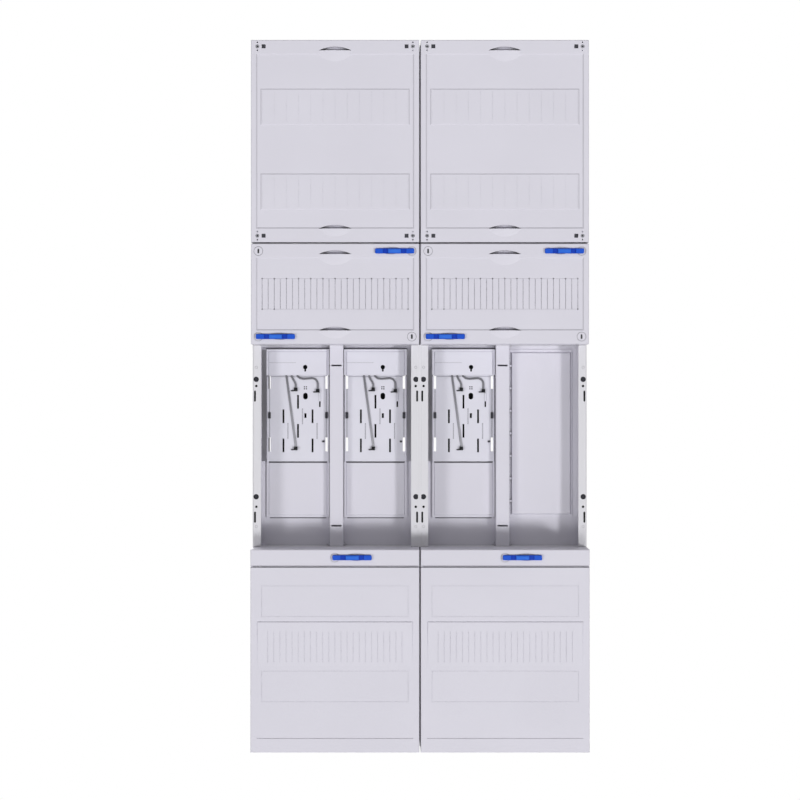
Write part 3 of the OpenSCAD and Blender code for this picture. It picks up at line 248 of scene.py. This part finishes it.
    def skin(self, rough, gloss, patch=PATCH_SCALE, grain=GRAIN_SCALE, strength=GRAIN_STRENGTH):
        """Slightly uneven gloss and fine spark-eroded grain, as the last step of a moulded plastic."""
        self.rough(self.noise(patch), *rough)
        self.bump(self.noise(grain, 1.0), strength)
        self.gloss(gloss)
        return self.material


def moulded(name, colour, rough=(0.42, 0.54), cloud=0.03, gloss=0.35, reach=CREVICE_REACH, steps=CREVICE,
            slope_shade=1.0, edge=1.0):
    """Moulded plastic with faint flow clouds and painted shade in its crevices; its shallow slopes and
    upward bevels can take painted shade too.
    """
    look = Nodes(name)
    tone = look.tones(look.noise(CLOUD_SCALE, 3.0), shade(colour, 1 - cloud), shade(colour, 1 + cloud))
    if slope_shade < 1.0:
        tone = look.slope_shaded(tone, slope_shade)
    if edge < 1.0:
        tone = look.bevel_shaded(tone, edge)
    look.colour(look.shaded(tone, reach, steps))
    return look.skin(rough, gloss)


def coated(name, colour):
    """Powder-coated sheet: orange-peel skin with fine specks, and painted shade in its narrow slots and
    holes.
    """
    look = Nodes(name)
    tone = look.ramp(look.noise(1500.0, 1.0), ((0.25, shade(colour, 0.97)), (0.75, shade(colour, 1.02))))
    look.colour(look.shaded(tone, reach=3.0 * MM, steps=FINE_CREVICE))
    look.rough(look.noise(90.0), 0.36, 0.5)
    look.bump(look.noise(620.0), strength=0.06, depth=0.3 * MM)
    look.gloss(0.4)
    return look.material


def metal(name, colour, rough, stretch):
    """Bare metal with drawn lines along the axis that is stretched least."""
    look = Nodes(name)
    lines = look.noise(1.0, 3.0, look.stretch(*stretch))
    look.colour(look.tones(lines, shade(colour, 0.86), shade(colour, 1.06)))
    look.rough(lines, *rough)
    look.bump(lines, strength=0.05)
    look.shader.inputs["Metallic"].default_value = 1.0
    return look.material


def spangled(name):
    """Galvanised sheet with zinc spangle."""
    look = Nodes(name)
    look.colour(look.ramp(look.cells(160.0), ((0.0, linear(176, 180, 184)), (1.0, linear(206, 209, 212)))))
    look.rough(look.noise(300.0), 0.34, 0.5)
    look.bump(look.noise(700.0), strength=0.04)
    look.shader.inputs["Metallic"].default_value = 0.85
    return look.material


# Depths from a lever's face at which the raised grip ends and the scoops begin; the grip takes a painted
# highlight and the scoops painted shade
GRIP_STEP = (-0.3, -0.1)
SCOOP_STEP = (0.4, 1.5)


def lever_blue(name, face):
    """Satin blue plastic with a painted highlight on the raised thumb grip and painted shade in the finger
    scoops beside it.
    """
    look = Nodes(name)
    depth = look.axis("Y")
    # Painted highlight on the raised grip, painted shade in the scoops
    grip_lit_mask = look.span(depth, *((face + step) * MM for step in GRIP_STEP), 1.0, 0.0)
    scoop = look.span(depth, *((face + step) * MM for step in SCOOP_STEP), 0.0, 1.0)
    clouds = look.noise(60.0)
    body = look.tones(clouds, linear(24, 80, 198), linear(32, 88, 206))
    grip = look.tones(clouds, linear(40, 102, 212), linear(50, 112, 220))
    scoop_shade_tone = look.tones(clouds, linear(4, 54, 170), linear(8, 62, 180))
    look.colour(look.shaded(look.mix(scoop, look.mix(grip_lit_mask, body, grip), scoop_shade_tone)))
    return look.skin(rough=(0.38, 0.5), gloss=0.18, patch=240.0, grain=2400.0, strength=0.03)


# Depths from the rails' back between which the clips' pins turn to near-black painted shade
PIN_STEP = (-0.6, -0.2)


def clip_sheet(name):
    """Dark spring steel; the pins and tongues that stand in the rails' holes are near-black painted shade.
    """
    look = Nodes(name)
    pin = look.span(look.axis("Y"), *((RAIL_BACK + step) * MM for step in PIN_STEP), 1.0, 0.0)
    clouds = look.noise(400.0)
    sheet = look.tones(clouds, linear(46, 46, 52), linear(56, 56, 62))
    # Near-black painted shade for the pins, tongues and rims in the rails' holes
    black = look.tones(clouds, linear(9, 9, 11), linear(15, 15, 17))
    look.colour(look.shaded(look.mix(pin, sheet, black)))
    return look.skin(rough=(0.5, 0.65), gloss=0.12)


# Depths from a latch screw's face between which its slot turns to painted shade
SLOT_STEP = (0.3, 0.8)


def latch_plastic(name):
    """The covers' plastic, with painted shade on the driver slot's floor."""
    look = Nodes(name)
    # Painted shade on the slot's floor
    slot = look.span(look.axis("Y"), *((LATCH_FACE + step) * MM for step in SLOT_STEP), 0.0, 1.0)
    clouds = look.noise(60.0)
    face = look.tones(clouds, shade(COVER, 0.98), shade(COVER, 1.02))
    slot_floor_shade = look.tones(clouds, linear(70, 70, 76), linear(78, 78, 84))
    look.colour(look.shaded(look.mix(slot, face, slot_floor_shade)))
    return look.skin(rough=(0.42, 0.54), gloss=0.35)


# Heights over which painted light and shade take the wires from pale low down to darker high up
WIRE_SHADE_SPAN = (-80.0 * MM, 30.0 * MM)


def sheath(name):
    """Wire sheath with painted light and shade: paler low down, darker high up."""
    look = Nodes(name)
    height = look.span(look.axis("Z"), *WIRE_SHADE_SPAN, 0.0, 1.0)
    tone = look.ramp(height, ((0.0, linear(170, 170, 176)), (1.0, linear(112, 112, 118))))
    streaks = look.tones(look.noise(60.0), grey(0.86), WHITE)
    look.colour(look.shaded(look.times(tone, streaks)))
    return look.skin(rough=(0.4, 0.5), gloss=0.35)


# Scale of the lines across a drawn metal
ACROSS = 900.0

# Painted shade in the crevices of every moulded finish, and on the covers' shallow slopes
cover_plastic = moulded("cover_plastic", COVER, cloud=0.015, slope_shade=0.79)
plate_plastic = moulded("plate_plastic", PLATE, rough=(0.46, 0.58), reach=2.0 * MM, steps=FINE_CREVICE)
# Painted shade on the insert panels' upward bevels
panel_plastic = moulded("panel_plastic", COVER, cloud=0.015, reach=3.0 * MM, steps=FINE_CREVICE, edge=0.4)
rail_steel = coated("rail_steel", RAIL)
black_plastic = moulded("black_plastic", BLACK, rough=(0.5, 0.65), cloud=0.12, gloss=0.15)
catch_plastic = moulded("catch_plastic", CATCH, rough=(0.5, 0.65), cloud=0.12, gloss=0.15)
seam_finish = moulded("seam_finish", RAIL, cloud=0.02, reach=0.5 * MM)
support_plastic = moulded("support_plastic", SUPPORT, rough=(0.5, 0.62), cloud=0.06)
screw_steel = metal("screw_steel", STEEL, rough=(0.32, 0.5), stretch=(ACROSS, 60.0, ACROSS))
busbar_copper = metal("busbar_copper", COPPER, rough=(0.22, 0.42), stretch=(14.0, ACROSS, ACROSS))
contact_brass = metal("contact_brass", BRASS, rough=(0.24, 0.4), stretch=(ACROSS, ACROSS, 30.0))
rail_zinc = spangled("rail_zinc")
clip_steel = clip_sheet("clip_steel")
wire_sheath = sheath("wire_sheath")
latch_grey = latch_plastic("latch_plastic")
breaker_blue = lever_blue("lever_plastic", BREAKER_LEVER_FACE)
lower_blue = lever_blue("lever_plastic_low", LOWER_LEVER_FACE)

# The finish of each node, by the start of its name
FINISH = (
    ("rail_", rail_steel), ("cross_rail", rail_steel), ("device_rail", rail_zinc),
    ("upper_cover", cover_plastic), ("breaker_cover", cover_plastic), ("lower_cover", cover_plastic),
    ("lock_strip", cover_plastic), ("breaker_lever", breaker_blue), ("lower_lever", lower_blue),
    ("latch_screw", latch_grey), ("sealing_screws", screw_steel), ("meter_carrier", cover_plastic),
    ("middle_bar", cover_plastic), ("meter_plate", plate_plastic), ("shroud", plate_plastic),
    ("insert_panel", panel_plastic), ("meter_wires", wire_sheath), ("contact_jaws", contact_brass),
    ("contact_housings", black_plastic), ("terminals", black_plastic), ("side_catches", catch_plastic),
    ("blank_panel", cover_plastic), ("busbars", busbar_copper), ("busbar_supports", support_plastic),
)
for name, node in nodes.items():
    finish = [material for prefix, material in FINISH if name.startswith(prefix)][0]
    node.data.materials.clear()
    node.data.materials.append(finish)


# Small fasteners, trim and pieces of painted shade, in millimetres

CORNER_STEPS = 5


def rounded(width, height, radius):
    """Points of a rounded rectangle around the origin."""
    points = []
    for x, z, start in ((1, -1, -90), (1, 1, 0), (-1, 1, 90), (-1, -1, 180)):
        for i in range(CORNER_STEPS + 1):
            a = math.radians(start + 90 * i / CORNER_STEPS)
            points.append((x * (width / 2 - radius) + radius * math.cos(a),
                           z * (height / 2 - radius) + radius * math.sin(a)))
    return points


def cross(reach, half):
    """Points of a plus sign around the origin."""
    quarter = ((reach, -half), (reach, half), (half, half))
    points = []
    for _ in range(4):
        points += quarter
        quarter = tuple((-z, x) for x, z in quarter)
    return points


def ring(bm, outline, x, y, z, share=1.0):
    """Corners of an outline around a point, drawn in to a share of its size."""
    return [bm.verts.new(((x + a * share) * MM, y * MM, (z + b * share) * MM)) for a, b in outline]


def wall(bm, near, far):
    """Faces between two rings."""
    for i in range(len(near)):
        j = (i + 1) % len(near)
        bm.faces.new((near[i], far[i], far[j], near[j]))


def loft(bm, outline, x, z, depths):
    """Adds a closed solid: the outline at each depth, drawn in to a share of its size."""
    rings = [ring(bm, outline, x, y, z, share) for y, share in depths]
    for near, far in zip(rings, rings[1:]):
        wall(bm, near, far)
    bm.faces.new(rings[0])
    bm.faces.new(rings[-1][::-1])


def bevelled(start, end, bevel, share):
    """Depths of a straight solid whose end is drawn in over a short bevel."""
    return ((start, 1.0), (end + math.copysign(bevel, start - end), 1.0), (end, share))


def fastener(name, body, material, fill):
    """A mesh piece filled by a function, on a body and with one material."""
    bm = bmesh.new()
    fill(bm)
    bmesh.ops.recalc_face_normals(bm, faces=bm.faces)
    mesh = bpy.data.meshes.new(name)
    bm.to_mesh(mesh)
    bm.free()
    mesh.materials.append(material)
    piece = bpy.data.objects.new(name, mesh)
    bpy.context.scene.collection.objects.link(piece)
    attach(piece, body)


# Distances of a clip and its parts from a rail's edge
CLIP_AT = 7.0
BARREL_AT = 5.35
PIN_AT = 5.6
TONGUE_AT = 3.6
# Sizes and depths of a clip's sheet and barrel
CLIP_W = 8.6
CLIP_R = 2.0
CLIP_BACK = RAIL_BACK + 1.4
BARREL_D = 7.2
BARREL_END = -80.5
# Shares of the barrel's width at its flared root, its bevelled lip and its bore
FLARE = 1.12
LIP = 0.86
BORE = 0.6
# How deep the flare, the lip and the bore are
FLARE_H = 0.6
LIP_H = 0.5
BORE_DEPTH = 3.0
# Sizes and depths of the pin and the tongue
PIN_D = 3.0
TONGUE_W = 2.0
TONGUE_L = 15.8
PIN_ROOT = RAIL_BACK + 0.1
PIN_END = -89.6
# Width and depths of the rim of painted shadow around a pin or tongue
RIM = 0.35
RIM_FACE = -90.08
RIM_BACK = -90.02
# Heights of a clip's ends and of its barrel, pin and tongue
UPPER_CLIP = dict(top=31.0, foot=-10.0, barrel=24.5, pin=14.5, tongue=-0.5)
LOWER_CLIP = dict(top=-144.5, foot=-191.0, barrel=-151.0, pin=-166.0, tongue=-181.5)


def rim(bm, width, length, x, z):
    """Thin rim of painted shadow on the rail's face around a hole."""
    inner = rounded(width, length, width / 2)
    outer = rounded(width + 2 * RIM, length + 2 * RIM, width / 2 + RIM)
    corners = ((inner, RIM_BACK), (inner, RIM_FACE), (outer, RIM_FACE), (outer, RIM_BACK))
    rings = [ring(bm, outline, x, y, z) for outline, y in corners]
    for near, far in zip(rings, rings[1:] + rings[:1]):
        wall(bm, near, far)


def clip(bm, edge, way, top, foot, barrel, pin, tongue):
    """Sheet clip behind a rail: a barrel behind the large hole, a rimmed pin and tongue in the others."""
    loft(bm, rounded(CLIP_W, top - foot, CLIP_R), edge + way * CLIP_AT, (top + foot) / 2,
         bevelled(RAIL_BACK, CLIP_BACK, bevel=0.3, share=0.97))
    loft(bm, rounded(BARREL_D, BARREL_D, BARREL_D / 2), edge + way * BARREL_AT, barrel,
         ((CLIP_BACK, FLARE), (CLIP_BACK + FLARE_H, 1.0), (BARREL_END - LIP_H, 1.0),
          (BARREL_END, LIP), (BARREL_END, BORE), (BARREL_END - BORE_DEPTH, BORE)))
    stubs = ((PIN_AT, pin, PIN_D, PIN_D), (TONGUE_AT, tongue, TONGUE_W, TONGUE_L))
    for at, z, width, length in stubs:
        loft(bm, rounded(width, length, width / 2), edge + way * at, z,
             bevelled(PIN_ROOT, PIN_END, bevel=0.2, share=0.96))
        rim(bm, width, length, edge + way * at, z)


def clip_nuts(bm):
    """Two clips behind each of the four rails."""
    for edge, way in ((-BOARD_EDGE, 1), (-RAIL_EDGE, -1), (RAIL_EDGE, 1), (BOARD_EDGE, -1)):
        clip(bm, edge, way, **UPPER_CLIP)
        clip(bm, edge, way, **LOWER_CLIP)


SEAM_FIT = 0.03
SEAM_LIP = 1.0
SEAM_FACE = -89.97
SEAM_BACK = -86.0
SEAM_Z = (-226.0, 76.0)
# Degrees of the rails' bends that the strip follows, and the steps it takes
SEAM_REACH = 74
SEAM_STEPS = 8


def seam_strip(bm):
    """Strip that fills the groove between the two middle rails' bends, almost flush with their faces."""
    centre_x, centre_y, radius = RAIL_EDGE + BEND_R, RAIL_FACE + BEND_R, BEND_R + SEAM_FIT
    bend = [math.radians(SEAM_REACH * i / SEAM_STEPS) for i in range(SEAM_STEPS + 1)]
    flank = [(centre_x - radius * math.cos(a), centre_y - radius * math.sin(a)) for a in bend]
    section = [(flank[0][0], SEAM_BACK)] + flank + [(SEAM_LIP, SEAM_FACE)]
    section += [(-x, y) for x, y in reversed(section)]
    foot, top = [[bm.verts.new((x * MM, y * MM, z * MM)) for x, y in section] for z in SEAM_Z]
    wall(bm, top, foot)
    bm.faces.new(foot[::-1])
    bm.faces.new(top)


UPPER_COVER_Z = 375.0
SEAL_RISE = 139.5
SEAL_X = 114.5
SEAL_Z = (UPPER_COVER_Z - SEAL_RISE, UPPER_COVER_Z + SEAL_RISE)
SEAL_FACE = -138.5
RECESS_ROOT = SEAL_FACE + 0.05
RECESS_FACE = SEAL_FACE - 0.06
RECESS_REACH = 1.5
RECESS_HALF = 0.6


def recess_shade_crosses(middle):
    """Black crosses on the faces of a cover's four sealing screws: painted shade that stands in for their
    cross recesses.
    """
    def fill(bm):
        for x in (-SEAL_X, SEAL_X):
            for z in SEAL_Z:
                loft(bm, cross(RECESS_REACH, RECESS_HALF), middle + x, z,
                     bevelled(RECESS_ROOT, RECESS_FACE, bevel=0.03, share=0.92))
    return fill


WINDOW = 5.8
WINDOW_FIT = 0.15
WINDOW_IN = 9.2
PLUG_W = WINDOW - 2 * WINDOW_FIT
PLUG_R = 0.5
PLUG_FACE = -138.6
PLUG_BACK = -135.5


def window_shade_plugs(middle):
    """Dark plugs in a cover's four test windows: painted shade that stands in for the dark inside behind
    them.
    """
    def fill(bm):
        for way in (-1, 1):
            for z in SEAL_Z:
                loft(bm, rounded(PLUG_W, PLUG_W, PLUG_R), middle + way * (SEAL_X - WINDOW_IN), z,
                     bevelled(PLUG_BACK, PLUG_FACE, bevel=0.2, share=0.96))
    return fill


recesses_left, recesses_right = recess_shade_crosses(-FIELD_MIDDLE), recess_shade_crosses(FIELD_MIDDLE)
plugs_left, plugs_right = window_shade_plugs(-FIELD_MIDDLE), window_shade_plugs(FIELD_MIDDLE)
fastener("rail_clip_nuts", "frame", clip_steel, clip_nuts)
fastener("rail_seam_strip", "frame", seam_finish, seam_strip)
# Pieces of painted shade: black crosses on the sealing screws and dark plugs in the test windows
fastener("seal_recesses_left", "upper_cover_left", black_plastic, recesses_left)
fastener("seal_recesses_right", "upper_cover_right", black_plastic, recesses_right)
# Dark plugs of painted shade in the test windows
fastener("window_plugs_left", "upper_cover_left", catch_plastic, plugs_left)
fastener("window_plugs_right", "upper_cover_right", catch_plastic, plugs_right)


# Studio

FILL = 0.33
LAMP_DISTANCE = 4.0


def studio_world():
    """White to the camera and to mirror rays; a soft even fill to everything else."""
    world = bpy.data.worlds.new("studio")
    bpy.context.scene.world = world
    world.use_nodes = True
    tree = world.node_tree
    tree.nodes.clear()

    def either(a, b):
        node = tree.nodes.new("ShaderNodeMath")
        node.operation = "MAXIMUM"
        tree.links.new(a, node.inputs[0])
        tree.links.new(b, node.inputs[1])
        return node.outputs[0]

    def background(strength):
        node = tree.nodes.new("ShaderNodeBackground")
        node.inputs["Color"].default_value = WHITE
        node.inputs["Strength"].default_value = strength
        return node.outputs[0]

    path = tree.nodes.new("ShaderNodeLightPath")
    mirror = either(path.outputs["Is Glossy Ray"], path.outputs["Is Transmission Ray"])
    choose = tree.nodes.new("ShaderNodeMixShader")
    tree.links.new(either(path.outputs["Is Camera Ray"], mirror), choose.inputs["Fac"])
    tree.links.new(background(FILL), choose.inputs[1])
    tree.links.new(background(1.0), choose.inputs[2])
    out = tree.nodes.new("ShaderNodeOutputWorld")
    tree.links.new(choose.outputs[0], out.inputs["Surface"])


def lamp(name, kind, place, towards):
    """A light at a place that shines one way."""
    light = bpy.data.objects.new(name, bpy.data.lights.new(name, kind))
    bpy.context.scene.collection.objects.link(light)
    light.location = place
    light.rotation_euler = towards.to_track_quat("-Z", "Y").to_euler()
    return light


def softbox(name, place, target, width, height, power):
    """Area light that looks at a point and stays out of the camera's sight."""
    light = lamp(name, "AREA", place, Vector(target) - Vector(place))
    light.data.shape = "RECTANGLE"
    light.data.size, light.data.size_y, light.data.energy = width, height, power
    light.visible_camera = False


def far_softbox(name, azimuth, elevation, spread, strength):
    """A softbox so far away that every part of the board gets the same light."""
    a, e = math.radians(azimuth), math.radians(elevation)
    place = Vector((math.sin(a) * math.cos(e), -math.cos(a) * math.cos(e), math.sin(e)))
    light = lamp(name, "SUN", place * LAMP_DISTANCE, -place)
    light.data.energy, light.data.angle = strength, math.radians(spread)


studio_world()
far_softbox("key_right", azimuth=34.0, elevation=-16.0, spread=8.0, strength=1.22)
far_softbox("key_left", azimuth=-41.0, elevation=-16.0, spread=14.0, strength=0.87)
far_softbox("key_front", azimuth=4.0, elevation=-18.0, spread=20.0, strength=0.40)
softbox("rear", place=(-0.9, 2.6, 0.9), target=(0.0, 0.0, 0.0), width=2.0, height=2.0, power=60.0)

FLOOR_AT = (0, -1.0, -2.4)
FLOOR_SIZE = (9.0, 5.4, 1.0)
FLOOR_CUTS = 8
FLOOR_LIFT = 0.5
bpy.ops.mesh.primitive_grid_add(x_subdivisions=FLOOR_CUTS, y_subdivisions=FLOOR_CUTS, size=1.0,
                                location=FLOOR_AT)
floor = bpy.context.object
floor.name = "floor"
floor.scale = FLOOR_SIZE
ground = Nodes("pale_floor")
ground.colour(ground.tones(ground.noise(3.0, 3.0), linear(240, 240, 241), linear(246, 246, 247)))
ground.rough(ground.noise(12.0), 0.6, 0.75)
lift = ground.add("ShaderNodeMath", operation="MULTIPLY")
lift.inputs[1].default_value = FLOOR_LIFT
ground.link(ground.add("ShaderNodeLightPath").outputs["Is Camera Ray"], lift.inputs[0])
ground.link(lift.outputs[0], ground.shader.inputs["Emission Strength"])
ground.shader.inputs["Emission Color"].default_value = WHITE
floor.data.materials.append(ground.material)


# Camera: 3.3 m in front of the lower covers, level with the middle of the board and a little left of it

CAMERA_AT = (-29.4 * MM, -3420.0 * MM, -6.4 * MM)
PIXEL = 1.4678 * MM
IMAGE = 800
camera_data = bpy.data.cameras.new("camera")
camera = bpy.data.objects.new("camera", camera_data)
bpy.context.scene.collection.objects.link(camera)
camera.location = CAMERA_AT
camera.rotation_euler = (math.pi / 2, 0.0, 0.0)
camera_data.sensor_fit = "HORIZONTAL"
camera_data.angle = 2 * math.atan(IMAGE * PIXEL / 2 / (LOWER_COVER_FACE * MM - CAMERA_AT[1]))
camera_data.clip_start = 0.1
camera_data.clip_end = 50.0
bpy.context.scene.camera = camera

bpy.context.scene.view_settings.view_transform = "Standard"
